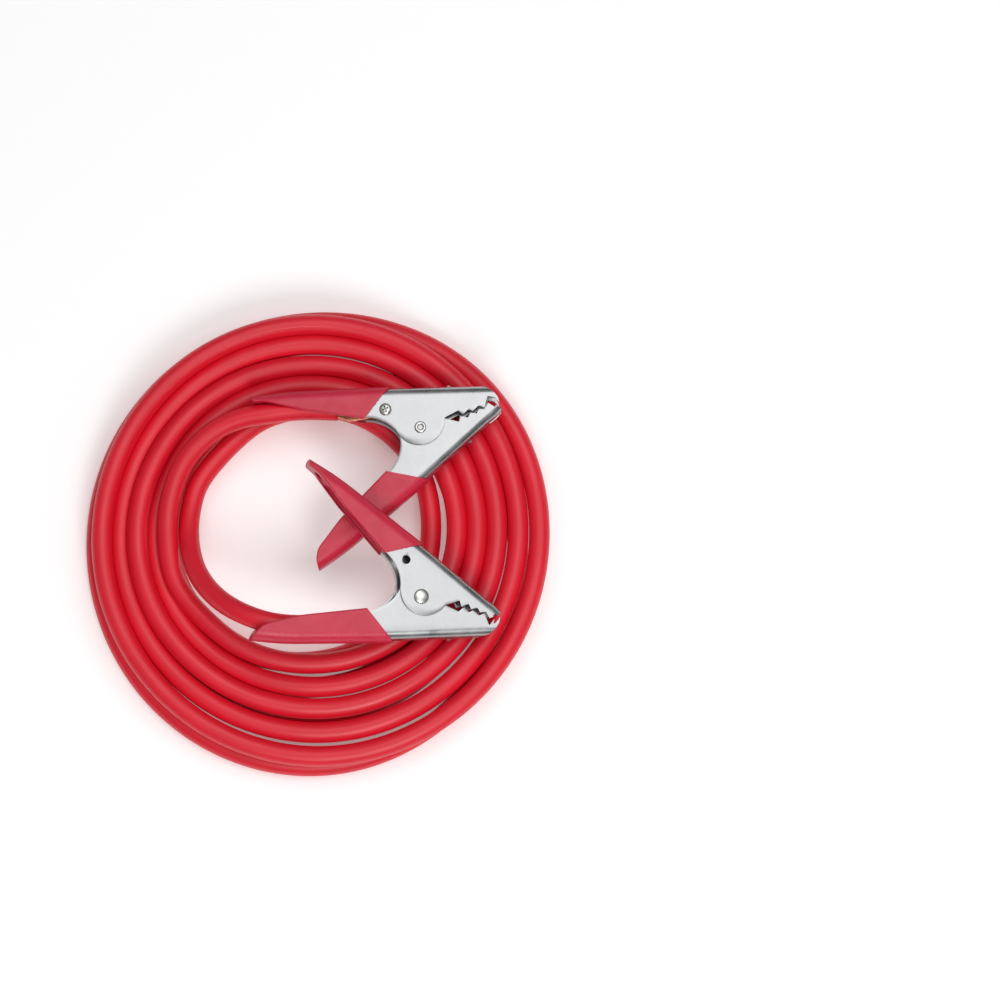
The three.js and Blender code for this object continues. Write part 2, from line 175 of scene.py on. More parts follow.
def centripetal(points, spacing):
    """Centripetal Catmull-Rom curve through points, then points along it at an even spacing."""
    ends = [2 * points[0] - points[1]], [2 * points[-1] - points[-2]]
    p = np.concatenate([ends[0], points, ends[1]])
    knots = np.concatenate([[0], np.cumsum(np.sqrt(np.linalg.norm(np.diff(p, axis=0), axis=1)))])
    k = np.arange(1, len(p) - 2)
    u = np.linspace(0, 1, CURVE_STEPS, endpoint=False)
    t = (knots[k, None] + u * (knots[k + 1] - knots[k])[:, None])[..., None]
    t0, t1, t2, t3 = [knots[k + j][:, None, None] for j in (-1, 0, 1, 2)]
    p0, p1, p2, p3 = [p[k + j][:, None, :] for j in (-1, 0, 1, 2)]
    a1 = ((t1 - t) * p0 + (t - t0) * p1) / (t1 - t0)
    a2 = ((t2 - t) * p1 + (t - t1) * p2) / (t2 - t1)
    a3 = ((t3 - t) * p2 + (t - t2) * p3) / (t3 - t2)
    b1 = ((t2 - t) * a1 + (t - t0) * a2) / (t2 - t0)
    b2 = ((t3 - t) * a2 + (t - t1) * a3) / (t3 - t1)
    fine = np.concatenate([(((t2 - t) * b1 + (t - t1) * b2) / (t2 - t1)).reshape(-1, 3), points[-1:]])
    walked = np.concatenate([[0], np.cumsum(np.linalg.norm(np.diff(fine, axis=0), axis=1))])
    even = np.linspace(0, walked[-1], int(walked[-1] / spacing) + 1)
    return np.stack([np.interp(even, walked, fine[:, a]) for a in range(3)], axis=1), walked[-1]


route = np.concatenate([LEAD_2_ROUTE[::-1], coil_points(), LEAD_1_ROUTE])
cable_path, cable_length = centripetal(route, RING_SPACING)
print(f"cable: {cable_length:.3f} m long, {len(cable_path)} rings")

# %% [markdown]
# A cable this thick is a round tube swept along its path. Frames are carried from ring to ring
# without twist, so the surface has no kinks. The two numbers that run along and round the cable
# are kept as a UV map, because the jacket's pattern follows the cable, not the room.


# %% Sweep the cable
def carried_frames(path):
    """Unit tangents, and two unit vectors square to them, turned as little as possible ring to ring."""
    tangent = np.gradient(path, axis=0)
    tangent /= np.linalg.norm(tangent, axis=1)[:, None]
    side = np.zeros_like(path)
    side[0] = np.cross(tangent[0], [0, 0, 1])
    side[0] /= np.linalg.norm(side[0])
    for i in range(1, len(path)):
        v = side[i - 1] - tangent[i] * (side[i - 1] @ tangent[i])
        side[i] = v / np.linalg.norm(v)
    return tangent, side, np.cross(tangent, side)


def tube_arrays(path, radius, sides):
    """Points and faces of a closed tube: ring point = path + radius * (cos a * side + sin a *
    other), with one flat face on each end."""
    tangent, side, other = carried_frames(path)
    a = np.linspace(0, 2 * np.pi, sides, endpoint=False)
    ring = np.cos(a)[None, :, None] * side[:, None] + np.sin(a)[None, :, None] * other[:, None]
    points = (path[:, None] + radius * ring).reshape(-1, 3)
    first = np.arange(sides)
    last = first + (len(path) - 1) * sides
    quads = grid_faces(len(path), sides, closed=True).tolist()
    return points, quads + [first[::-1].tolist(), last.tolist()]


def swept_tube(name, path, radius, sides):
    """The closed tube as an object."""
    return mesh_piece(name, *tube_arrays(path, radius, sides))


def uv_from_rings(piece, path, sides):
    """UV map in metres: u runs along the path, v round the ring."""
    walked = np.concatenate([[0], np.cumsum(np.linalg.norm(np.diff(path, axis=0), axis=1))])
    layer = piece.data.uv_layers.new(name="along")
    corner = np.zeros(len(piece.data.loops), int)
    piece.data.loops.foreach_get("vertex_index", corner)
    ring, spot = corner // sides, corner % sides
    uv = np.stack([walked[ring], spot * (np.pi * CABLE_D / sides)], axis=1)
    layer.data.foreach_set("uv", uv.ravel())


CABLE_SIDES = 24
cable = swept_tube("cable", cable_path, CABLE_D / 2, CABLE_SIDES)
uv_from_rings(cable, cable_path, CABLE_SIDES)
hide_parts("cable_coil", "cable_lead_1", "cable_lead_2")
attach(cable, "root")
print(cable.name, len(cable.data.polygons), "faces")

# %% [markdown]
# Both clamps are the same. Each has two halves stamped from sheet steel and bent to a channel:
# two flat side plates, toothed at the jaw and lobed at the pivot, joined along the spine by a wall
# with generous round corners. One half is the mirror of the other, turned over and set aside by
# one sheet, so that one ear laps the other at the pivot. Sizes repeat the solid model.

# %% The clamp's sizes, in clamp coordinates: x to the nose, y to the half's own side
SHEET, CHANNEL_W, SPINE_R, TOUCH, GRIP_T = 1.8 * MM, 20 * MM, 7 * MM, 0.3 * MM, 1.2 * MM
HALF_SHIFT = (SHEET + TOUCH) / 2
METAL_HALF = CHANNEL_W / 2 + HALF_SHIFT
EAR_MIDDLE, EAR_R = MM * np.array([1.5, 5.5]), 18.7 * MM
SPINE = MM * np.array([[-108.4, 68.6], [-86.8, 63.9], [-9.1, 36.9], [50.2, 14.4]])
SPINE_BLEND = 13 * MM
HANDLE_LOW = MM * np.array([[-108.4, 68.2], [-100.5, 63.8], [-76, 46.9], [-35.6, 23]])
NOTCH = MM * np.array([[-35.6, 23], [-19.2, 15], [-16.7, 0]])
EAR_FRONT = MM * np.array([19.4, 0])
HANDLE_BLEND, NOTCH_STEPS, EAR_STEPS = 6 * MM, 14, 30
JAWS = {
    "cable": {
        "teeth": MM * np.array([
            [30.8, 1.2], [33, -2.8], [38.4, -0.8], [40.7, -3.3], [46.3, -1], [50, -3.9], [55.5, 3.3],
            [59.9, 0.4], [61.8, -5.2], [62.4, -1.0],
        ]),
        "nose": MM * np.array([[50.2, 14.4], [61, 10], [62.4, -1]]),
    },
    "free": {
        "teeth": MM * np.array([
            [28.4, 6.6], [31, 2.6], [35.8, 6.2], [38.9, 3.1], [43, 5.8], [45.8, 3.1], [50, 5],
            [54.1, 1.3], [57.7, 6.4], [58.9, 5.2], [60.2, 6.2], [61.8, 9.2],
        ]),
        "nose": MM * np.array([[50.2, 14.4], [58.5, 12.5], [61.8, 9.2]]),
    },
}
print(f"clamp: {(JAWS['cable']['teeth'][-1, 0] - SPINE[0, 0]) / MM:.1f} mm from handle end to nose")

# %% [markdown]
# Seen from the side, a half is one outline. Its straight runs are joined by quadratic curves, as
# a press tool's radii join them. The lobe round the rivet is an arc. The teeth are sharp corners
# placed one by one, because real stamped teeth aren't even.


# %% The outline's curves
def quadratic(a, b, c, steps):
    """Points on the quadratic curve from a to c that is pulled towards b."""
    t = np.linspace(0, 1, steps)[:, None]
    return (1 - t) ** 2 * a + 2 * t * (1 - t) * b + t**2 * c


def rounded_corners(points, blend, steps=9):
    """A polyline whose inner corners are quadratic curves that start and end blend from the corner."""
    out = [points[:1]]
    for a, b, c in zip(points, points[1:], points[2:]):
        into = b + (a - b) / np.linalg.norm(a - b) * blend
        away = b + (c - b) / np.linalg.norm(c - b) * blend
        out.append(quadratic(into, b, away, steps))
    return np.concatenate(out + [points[-1:]])


def low_edge(teeth):
    """The half's free edge from the handle's end to the nose: handle, notch, ear and teeth."""
    notch = quadratic(*NOTCH, NOTCH_STEPS)
    start = math.atan2(*(NOTCH[2] - EAR_MIDDLE)[::-1]) % (2 * math.pi)
    end = math.atan2(*(EAR_FRONT - EAR_MIDDLE)[::-1]) % (2 * math.pi)
    turn = np.linspace(start, end, EAR_STEPS)
    ear = EAR_MIDDLE + EAR_R * np.stack([np.cos(turn), np.sin(turn)], axis=1)
    return np.concatenate([rounded_corners(HANDLE_LOW, HANDLE_BLEND), notch[1:], ear[1:], teeth])


spine_line = rounded_corners(SPINE, SPINE_BLEND)
print("spine points:", len(spine_line))

# %% [markdown]
# The channel is a grid: its columns run along the clamp, and its rows go from one free edge up
# the side plate, round the corner, over the spine wall and down the other plate. A point's
# distance d below the spine says how far it is drawn in from the side: the half width there is
# W - R (1 - sqrt(1 - (1 - d/R)^2)) for d < R. So the grid still fits where the half is shallower
# than the corner, at the handle's tip. Past the start of the nose curve there is no wall, and the
# two plates end on that curve. This way was chosen because the sheet's bend stays one smooth
# surface along an outline that curves.


# %% A bent channel as a grid
def refined(points, longest):
    """The same polyline with points added so that no step is longer than longest."""
    out = [points[:1]]
    for a, b in zip(points, points[1:]):
        steps = max(1, int(np.ceil(np.linalg.norm(b - a) / longest)))
        out.append(a + (b - a) * (np.arange(1, steps + 1) / steps)[:, None])
    return np.concatenate(out)


RUN_ON = 9  # the spine runs on past the handle's end by this many of its first steps


def spine_at(x, grow=0.0):
    """Spine points over these x, moved outwards by grow, and the outward normals."""
    first = spine_line[0] - RUN_ON * (spine_line[1] - spine_line[0])
    last = spine_line[-1] + SPINE[3] - SPINE[2]
    line = refined(np.concatenate([[first], spine_line, [last]]), 1 * MM)
    normal = np.gradient(line, axis=0) @ np.array([[0, 1], [-1, 0]])
    normal /= np.linalg.norm(normal, axis=1)[:, None]
    moved = line + normal * grow
    wanted = (moved[:, 1], normal[:, 0], normal[:, 1])
    y, normal_x, normal_y = [np.interp(x, moved[:, 0], values) for values in wanted]
    return np.stack([x, y], axis=1), np.stack([normal_x, normal_y], axis=1)


def side_rows(low, high, deep, shallow, half_width, corner_r, plate_rows=7, corner_rows=8):
    """Rows of points from low to high. deep and shallow are their depths below the spine."""
    turn_at = np.clip(corner_r, shallow, deep)
    t = np.linspace(0, 1, plate_rows)[:, None]
    plate = deep + (turn_at - deep) * t
    a0, a1 = [np.arcsin(np.clip(1 - d / corner_r, 0, 1)) for d in (turn_at, shallow)]
    t = np.linspace(0, 1, corner_rows)[1:, None]
    bend = np.clip(corner_r * (1 - np.sin(a0 + (a1 - a0) * t)), shallow, deep)
    depth = np.concatenate([plate, bend])
    sunk = np.clip(1 - depth / corner_r, 0, 1)
    z = half_width - corner_r * (1 - np.sqrt(1 - sunk**2))
    share = ((deep - depth) / np.maximum(deep - shallow, 1e-9))[..., None]
    flat = low + (high - low) * share
    return np.concatenate([flat, z[..., None]], axis=2)


WALL_ROWS = 7


def with_other_side(rows):
    """The rows of one side, the wall between, then the same rows on the other side."""
    across = np.linspace(1, -1, WALL_ROWS + 2)[1:-1, None, None]
    flat = np.repeat(rows[-1:, :, :2], WALL_ROWS, axis=0)
    wall = np.concatenate([flat, rows[-1:, :, 2:] * across], axis=2)
    return np.concatenate([rows, wall, rows[::-1] * [1, 1, -1]])


print("spine height over the rivet:", round(float(spine_at(np.zeros(1))[0][0, 1]) / MM, 1), "mm")

# %% [markdown]
# A small round dimple is pressed outwards in the spine wall above the teeth. It isn't a separate
# piece on the real clamp, so it isn't one here: the grid's own points are moved out, by a height
# that falls from the middle to the rim as the square of a cosine, which leaves no crease.


# %% The stamped sheet
DIMPLE_X, DIMPLE_R, DIMPLE_RISE = 31 * MM, 4.2 * MM, 2.2 * MM
COLUMN_STEP, LEAST_DEPTH, LEAST_NOSE = 1.6 * MM, 0.1 * MM, 0.02 * MM


def press_dimple(channel, top, normal):
    """Push the spine wall out in a small round bump, in place: rise * cos^2 of the way to its rim."""
    away = np.hypot(top[None, :, 0] - DIMPLE_X, channel[..., 2]) / DIMPLE_R
    on_wall = np.linalg.norm(channel[..., :2] - top, axis=2) < 0.5 * MM
    rise = DIMPLE_RISE * np.cos(np.pi / 2 * np.minimum(away, 1)) ** 2 * on_wall
    channel[..., :2] += normal * rise[..., None]


def stamped_half(name, kind):
    """One jaw half: the channel grid up to the nose curve, then a plate grid on either side."""
    jaw = JAWS[kind]
    low = refined(low_edge(jaw["teeth"]), COLUMN_STEP)
    split = int(np.searchsorted(low[:, 0], SPINE[3, 0]))
    low = np.insert(low, split, [SPINE[3, 0], np.interp(SPINE[3, 0], *low.T)], axis=0)
    top, normal = spine_at(low[:, 0])
    deep = np.maximum(((top - low) * normal).sum(axis=1), LEAST_DEPTH)
    body, nose = slice(0, split + 1), slice(split, len(low))
    channel = with_other_side(
        side_rows(low[body], top[body], deep[body], 0 * deep[body], CHANNEL_W / 2, SPINE_R)
    )
    press_dimple(channel, top[body], normal[body])
    curve = quadratic(*jaw["nose"], 60)
    reach = np.stack([low[nose, 0], np.interp(low[nose, 0], curve[:, 0], curve[:, 1])], axis=1)
    reach[:, 1] = np.maximum(reach[:, 1], low[nose, 1] + LEAST_NOSE)
    shallow = np.maximum(((top[nose] - reach) * normal[nose]).sum(axis=1), 0)
    plate = side_rows(low[nose], reach, deep[nose], shallow, CHANNEL_W / 2, SPINE_R)
    quads = grid_faces(*plate.shape[:2])
    first = channel.shape[0] * channel.shape[1]
    second = first + plate.shape[0] * plate.shape[1]
    points = [channel.reshape(-1, 3), plate.reshape(-1, 3), (plate * [1, 1, -1]).reshape(-1, 3)]
    faces = [grid_faces(*channel.shape[:2]), quads + first, quads[:, ::-1] + second]
    return mesh_piece(name, np.concatenate(points), np.concatenate(faces))
print("points on the free edge of a half:", len(refined(low_edge(JAWS["cable"]["teeth"]), COLUMN_STEP)))

# %% [markdown]
# Modifiers finish the grids. Weld merges points that meet, Solidify gives a sheet its thickness,
# Boolean cuts a hole or a recess, and Bevel breaks the edges. Their result goes into the mesh at
# once, so each one works on plain geometry, and every use of the piece has the same faces. Turned
# parts are a profile of radius and height carried round an axis.


# %% Modifiers and turned bodies
SHARP_FROM = 35  # degrees between two faces that meet


def apply_modifiers(piece, sharp=SHARP_FROM):
    """Put the modifiers' result into the mesh, shaded smooth but for its sharp edges."""
    bpy.context.view_layer.update()
    graph = bpy.context.evaluated_depsgraph_get()
    shape = bpy.data.meshes.new_from_object(piece.evaluated_get(graph))
    piece.modifiers.clear()
    piece.data = shape
    shape.polygons.foreach_set("use_smooth", [True] * len(shape.polygons))
    shape.set_sharp_from_angle(angle=math.radians(sharp))


def modify(piece, kind, **settings):
    """Add a modifier with these settings."""
    modifier = piece.modifiers.new(kind.lower(), kind)
    for key, value in settings.items():
        setattr(modifier, key, value)


def revolved(name, profile, at=(0, 0), sides=48):
    """A body turned round the z axis through `at`, from a profile of (radius, z) points."""
    profile = np.array(profile)
    a = np.linspace(0, 2 * np.pi, sides, endpoint=False)
    ring = np.stack([np.cos(a), np.sin(a)], axis=1)
    flat = profile[:, None, :1] * ring + np.array(at)
    z = np.broadcast_to(profile[:, None, 1:], (*flat.shape[:2], 1))
    piece = mesh_piece(
        name, np.concatenate([flat, z], axis=2), grid_faces(len(profile), sides, closed=True)
    )
    modify(piece, "WELD", merge_threshold=1e-6)
    apply_modifiers(piece)
    return piece


def cut_with(piece, *cutters):
    """Cut these pieces' shapes out of the piece, and remove them."""
    for cutter in cutters:
        modify(piece, "BOOLEAN", operation="DIFFERENCE", object=cutter, solver="EXACT")
    apply_modifiers(piece)
    for cutter in cutters:
        bpy.data.objects.remove(cutter)


print("edges stay sharp from", SHARP_FROM, "degrees")

# %% [markdown]
# A real half is stamped, punched for its screw, bent and tumbled. Here the bent grid gets the
# sheet's thickness, then a turned bar cuts the hole through one plate, and last the edges are
# worn round, the hole's edge with them. Cutting after thickening gives the hole its full wall.


# %% One half of a clamp
SCREW_AT, SCREW_HOLE_R = MM * np.array([-19.2, 22.4]), 3.2 * MM
HOLE_FROM, HOLE_TO = 3 * MM, 14 * MM  # the bar goes through the +z plate alone
BREAK = 0.35 * MM  # how far the stamped edges are worn round


def clamp_half(name, kind):
    """The stamped half with its thickness, its screw hole in the +z plate and worn edges."""
    piece = stamped_half(name, kind)
    modify(piece, "WELD", merge_threshold=3e-5)
    modify(piece, "SOLIDIFY", thickness=SHEET, offset=-1, use_even_offset=True, use_quality_normals=True)
    apply_modifiers(piece)
    bar = [(0, HOLE_FROM), (SCREW_HOLE_R, HOLE_FROM), (SCREW_HOLE_R, HOLE_TO), (0, HOLE_TO)]
    cut_with(piece, revolved("hole", bar, SCREW_AT))
    modify(piece, "BEVEL", width=BREAK, segments=2, limit_method="ANGLE", angle_limit=math.radians(55))
    apply_modifiers(piece)
    return piece


print(f"screw hole: {2 * SCREW_HOLE_R / MM:.1f} mm across")

# %% [markdown]
# The grips are sleeves of dipped vinyl: a skin 1.2 mm thick that follows the handle a little way
# out, wraps its free edges with two soft lips, and closes to a round tip. A thickened copy of
# the steel would have square edges where the real coat flows round, so the sleeve is a grid of
# its own, with rows for each lip. Its columns slant at the root, as the dip line does. On the
# handle nearer the viewer the vinyl bellies out past the steel. The lips run together where the
# mouth ends, short of the tip.


# %% The dipped sleeve
GRIP_OUT = TOUCH + GRIP_T
GRIP_TOP_X = -9.4 * MM
LIP_R, LIP_STEPS = 1.3 * MM, 6
MOUTH_HALF = CHANNEL_W / 2 - SHEET + TOUCH
MOUTH_FROM, MOUTH_END = -92 * MM, -103 * MM
LEAN_END = -82 * MM  # the root's slant fades out by here
TIP_DROP, SLEEVE_STEP, SLEEVE_LEAST, SLEEVE_BREAK = 2.6 * MM, 1.5 * MM, 0.05 * MM, 0.45 * MM
WIDE_LOW = MM * np.array([[-108.4, 67.4], [-104, 57.4], [-80, 42.6], [-35.6, 22.4]])


def moved_out(points, distance):
    """A polyline moved to its right by distance, with its corners kept sharp."""
    way = np.diff(points, axis=0)
    way /= np.linalg.norm(way, axis=1)[:, None]
    right = way @ np.array([[0, -1], [1, 0]])
    corner = right[:-1] + right[1:]
    corner /= (corner * right[1:]).sum(axis=1)[:, None]
    return points + distance * np.concatenate([right[:1], corner, right[-1:]])


def held_within(piece, half_width):
    """Limit every point's z to half_width either way, because a tight lip can throw a few out."""
    spots = np.empty(3 * len(piece.data.vertices), np.float32)
    piece.data.vertices.foreach_get("co", spots)
    spots[2::3] = np.clip(spots[2::3], -half_width, half_width)
    piece.data.vertices.foreach_set("co", spots)


def sleeve(name, edge, corner):
    """A grip in the coordinates of its half: one grid of rows round the handle, from the free edge
    line that it wraps to the spine, with the edge's corners rounded by corner, then thickened."""
    tip_x = SPINE[0, 0] - GRIP_OUT
    tip_top = spine_at(np.array([tip_x]), GRIP_OUT)[0][0]
    under = moved_out(edge[::-1], -GRIP_OUT)
    under[-1] = [tip_x, edge[0, 1] - TIP_DROP]
    low = rounded_corners(np.concatenate([under, [tip_top]]), corner, steps=12)
    low = refined(low, SLEEVE_STEP)
    lean = np.clip((low[:, 0] - LEAN_END) / (low[0, 0] - LEAN_END), 0, 1)
    top, normal = spine_at(low[:, 0] + (GRIP_TOP_X - low[0, 0]) * lean, GRIP_OUT)
    deep = np.maximum(((top - low) * normal).sum(axis=1), SLEEVE_LEAST)
    half_width, corner_r = CHANNEL_W / 2 + GRIP_OUT, SPINE_R + GRIP_OUT
    lip = np.minimum(LIP_R, deep / 3)
    foot = low + (top - low) * (lip / deep)[:, None]
    side = side_rows(foot, top, deep - lip, 0 * deep, half_width, corner_r, 10, 10)
    a = np.linspace(0, np.pi / 2, LIP_STEPS)[:-1, None]
    turn_xy = low + (foot - low) * (1 - np.cos(a))[..., None]
    turn_z = side[0, :, 2] - lip * (1 - np.sin(a))
    opening = np.sqrt(np.clip((low[:, 0] - MOUTH_END) / (MOUTH_FROM - MOUTH_END), 0, 1))
    mouth = np.minimum(MOUTH_HALF, side[0, :, 2] - lip) * opening
    flat = np.stack([mouth, (mouth + turn_z[0]) / 2])
    rim = np.concatenate([np.repeat(low[None], 2, axis=0), flat[..., None]], axis=2)
    turn = np.concatenate([turn_xy, turn_z[..., None]], axis=2)
    grid = with_other_side(np.concatenate([rim, turn, side]))
    piece = mesh_piece(name, grid, grid_faces(*grid.shape[:2])[:, ::-1])
    modify(piece, "WELD", merge_threshold=5e-5)
    modify(piece, "SOLIDIFY", thickness=GRIP_T, offset=-1, thickness_clamp=1.0)
    apply_modifiers(piece)
    held_within(piece, half_width)
    sharp = math.radians(60)
    modify(piece, "BEVEL", width=SLEEVE_BREAK, segments=3, limit_method="ANGLE", angle_limit=sharp)
    apply_modifiers(piece, sharp=60)
    return piece


NEARER_GRIPS = ("clamp_1_free_grip_fine", "clamp_2_cable_grip_fine")


def grip(name):
    """The sleeve that this handle has: wide and round-tipped on the nearer handle of each clamp."""
    if name in NEARER_GRIPS:
        return sleeve(name, WIDE_LOW, 4 * MM)
    return sleeve(name, HANDLE_LOW, 2.4 * MM)


print(f"a grip is {2 * (CHANNEL_W / 2 + GRIP_OUT) / MM:.1f} mm across")


# %% [markdown]
# The rivet is a tube with a dome below. Above, its mouth is rolled outwards over the ear, and its
# bore stays open. It is round about the pivot, so one profile of radius and height gives all of
# it: a quarter ellipse for the dome, a straight shank, a raised half wave for the rolled rim, and
# the bore with its floor.

# %% The rivet
LOW_FACE, HIGH_FACE = -METAL_HALF - TOUCH, METAL_HALF + TOUCH
DOME_R, DOME_H, DOME_RIM, SHANK_R = 5.6 * MM, 1.9 * MM, 0.3 * MM, 3 * MM
ROLL_R, ROLL_H, ROLL_FOOT, BORE_R, BORE_DEPTH = 4.4 * MM, 1.2 * MM, 0.2 * MM, 1.8 * MM, 5 * MM
ROLL_POWER = 0.8  # below 1, so the rolled rim is fuller than a sine


def rivet(name):
    """The profile from the middle of the dome round to the middle of the bore's floor, turned."""
    a = np.linspace(0, np.pi / 2, 10)
    dome_z = LOW_FACE - DOME_RIM - (DOME_H - DOME_RIM) * np.cos(a)
    dome = np.stack([DOME_R * np.sin(a), dome_z], axis=1)
    shank = [(DOME_R, LOW_FACE), (SHANK_R, LOW_FACE), (SHANK_R, HIGH_FACE)]
    a = np.linspace(0, np.pi, 14)
    roll_mid, roll_half = (ROLL_R + BORE_R) / 2, (ROLL_R - BORE_R) / 2
    roll_z = HIGH_FACE + ROLL_H * np.sin(a) ** ROLL_POWER
    roll = np.stack([roll_mid + roll_half * np.cos(a), roll_z], axis=1)
    floor_z = HIGH_FACE - BORE_DEPTH
    bore = [(BORE_R, floor_z + 0.6 * MM), (BORE_R * 0.7, floor_z), (0, floor_z)]
    return revolved(name, [*dome, *shank, (ROLL_R - ROLL_FOOT, HIGH_FACE), *roll, *bore])


print(f"rivet: {(HIGH_FACE + ROLL_H - LOW_FACE + DOME_H) / MM:.1f} mm long")

# %% [markdown]
# The screw presses the bare conductor against the plate. Its pan head is turned: a low cylinder
# under a flattened dome. The cross recess is cut with two crossed bars that narrow towards their
# foot, as the punch that makes a real one does.

# %% The screw
HEAD_R, HEAD_H, SCREW_R = 4.5 * MM, 2.6 * MM, 2.2 * MM
RIM_SHARE, CROWN_SHARE, CROWN_POWER = 0.35, 0.65, 0.75
CROSS_W, CROSS_L, CROSS_DEPTH, CROSS_OVER = 1.2 * MM, 5 * MM, 1.4 * MM, 0.6 * MM
FOOT_SHARE, TOP_SHARE = 0.6, 1.15
CONDUCTOR_R = 3.6 * MM  # the screw's point reaches across the conductor


def cross_bar(name, width, length, top):
    """A bar for the cross recess, narrower at its foot, reaching CROSS_DEPTH below top."""
    w, l = width / 2, length / 2
    foot = np.array([[-w, -l], [w, -l], [w, l], [-w, l]]) * FOOT_SHARE
    rings = (foot, foot / FOOT_SHARE * TOP_SHARE)
    z = [top - CROSS_DEPTH, top + CROSS_OVER]
    points = np.concatenate([np.column_stack([ring, np.full(4, h)]) for ring, h in zip(rings, z)])
    points[:, :2] += SCREW_AT
    faces = grid_faces(2, 4, closed=True).tolist() + [[3, 2, 1, 0], [4, 5, 6, 7]]
    return mesh_piece(name, points, faces)


def screw(name):
    """A pan head: a low cylinder under a flattened dome, with a cross recess cut in."""
    a = np.linspace(0, np.pi / 2, 12)
    edge = HIGH_FACE + RIM_SHARE * HEAD_H
    crown_z = edge + (HEAD_H * CROWN_SHARE) * np.sin(a)
    crown = np.stack([HEAD_R * np.cos(a) ** CROWN_POWER, crown_z], axis=1)
    crown[-1, 0] = 0
    tip = HIGH_FACE - SHEET - 2 * CONDUCTOR_R
    shank = [(0, tip), (SCREW_R, tip), (SCREW_R, HIGH_FACE)]
    piece = revolved(name, [*shank, (HEAD_R - 0.3 * MM, HIGH_FACE), (HEAD_R, edge), *crown], SCREW_AT)
    top = HIGH_FACE + HEAD_H
    along, across = (CROSS_W, CROSS_L), (CROSS_L, CROSS_W)
    cut_with(piece, cross_bar("bar_a", *along, top), cross_bar("bar_b", *across, top))
    return piece


print(f"screw head: {2 * HEAD_R / MM:.1f} mm across")

# %% [markdown]
# A spring of round wire holds the jaws shut. Its turns lie round the rivet, between the plates,
# and each end leaves them on a tangent and rests inside a handle. So its path has three parts,
# an arm, a helix and an arm, and the wire is a tube swept along them.

# %% The spring
WIRE_R, SPRING_R, SPRING_TURNS = 1.4 * MM, 6.6 * MM, 4
SPRING_END = MM * np.array([-30, 37.1])
HELIX_STEPS, ARM_STEPS, WIRE_SIDES = 180, 20, 14


def spring(name):
    """Arm, turns about the rivet, arm: helix point = (R cos a, R sin a, z), with z even in a."""
    level = CHANNEL_W / 2 - SHEET - HALF_SHIFT - TOUCH - WIRE_R
    reach, bearing = np.linalg.norm(SPRING_END), math.atan2(SPRING_END[1], SPRING_END[0])
    open_angle = math.acos(SPRING_R / reach)
    a0 = bearing + open_angle
    a1 = 2 * math.pi * SPRING_TURNS - bearing - open_angle
    a = np.linspace(a0, a1, HELIX_STEPS)
    z = np.linspace(-level, level, len(a))
    turns = np.stack([SPRING_R * np.cos(a), SPRING_R * np.sin(a), z], axis=1)
    t = np.linspace(0, 1, ARM_STEPS)[:-1, None]
    foot = np.array([*SPRING_END, -level])
    first = foot + (turns[0] - foot) * t
    last = np.array([SPRING_END[0], -SPRING_END[1], level])
    second = turns[-1] + (last - turns[-1]) * (1 - t[::-1])
    return swept_tube(name, np.concatenate([first, turns, second]), WIRE_R, WIRE_SIDES)


print(f"spring: {2 * (SPRING_R + WIRE_R) / MM:.1f} mm across")

# %% [markdown]
# The conductor is many copper wires laid in a twist. From the jacket's end to just past the screw
# they are bare, and they shine between the handles. Nineteen wires, one in the middle, six round
# it and twelve round those, stand for the finer real ones, which would be too thin to tell apart.

# %% The bare conductor
STRAND_R, LAY_LENGTH, STRAND_SIDES = 0.72 * MM, 55 * MM, 8
STRAND_RINGS = ((1, 0), (6, 2 * STRAND_R), (12, 4 * STRAND_R))  # how many, and how far out
STRAND_ROUTE = MM * np.array([
    [-53, 34.5, 1.05], [-46, 28.9, 2.05], [-34, 25.6, 4], [-25, 24.2, 0], [-19.2, 22.4, 0],
    [-13.4, 21.4, 0],
])
STRAND_SINK = MM * np.array([0.3, 0.1, 0])  # how far below the plate the last three points lie


def strands(name):
    """Wires that circle the route: angle = turn * (share of the ring + distance / lay length)."""
    level = METAL_HALF - SHEET - TOUCH - CONDUCTOR_R
    knots = STRAND_ROUTE.copy()
    knots[3:, 2] = level - STRAND_SINK
    path, _ = centripetal(knots, 1 * MM)
    tangent, side, other = carried_frames(path)
    walked = np.arange(len(path)) * MM
    points, faces, start = [], [], 0
    for count, ring_r in STRAND_RINGS:
        for k in range(count):
            a = 2 * np.pi * (k / count + walked / LAY_LENGTH)
            line = path + ring_r * (np.cos(a)[:, None] * side + np.sin(a)[:, None] * other)
            wire_points, wire_faces = tube_arrays(line, STRAND_R, STRAND_SIDES)
            points.append(wire_points)
            faces += [[i + start for i in face] for face in wire_faces]
            start += len(wire_points)
    return mesh_piece(name, np.concatenate(points), faces)


print("wires in the conductor:", sum(count for count, _ in STRAND_RINGS))
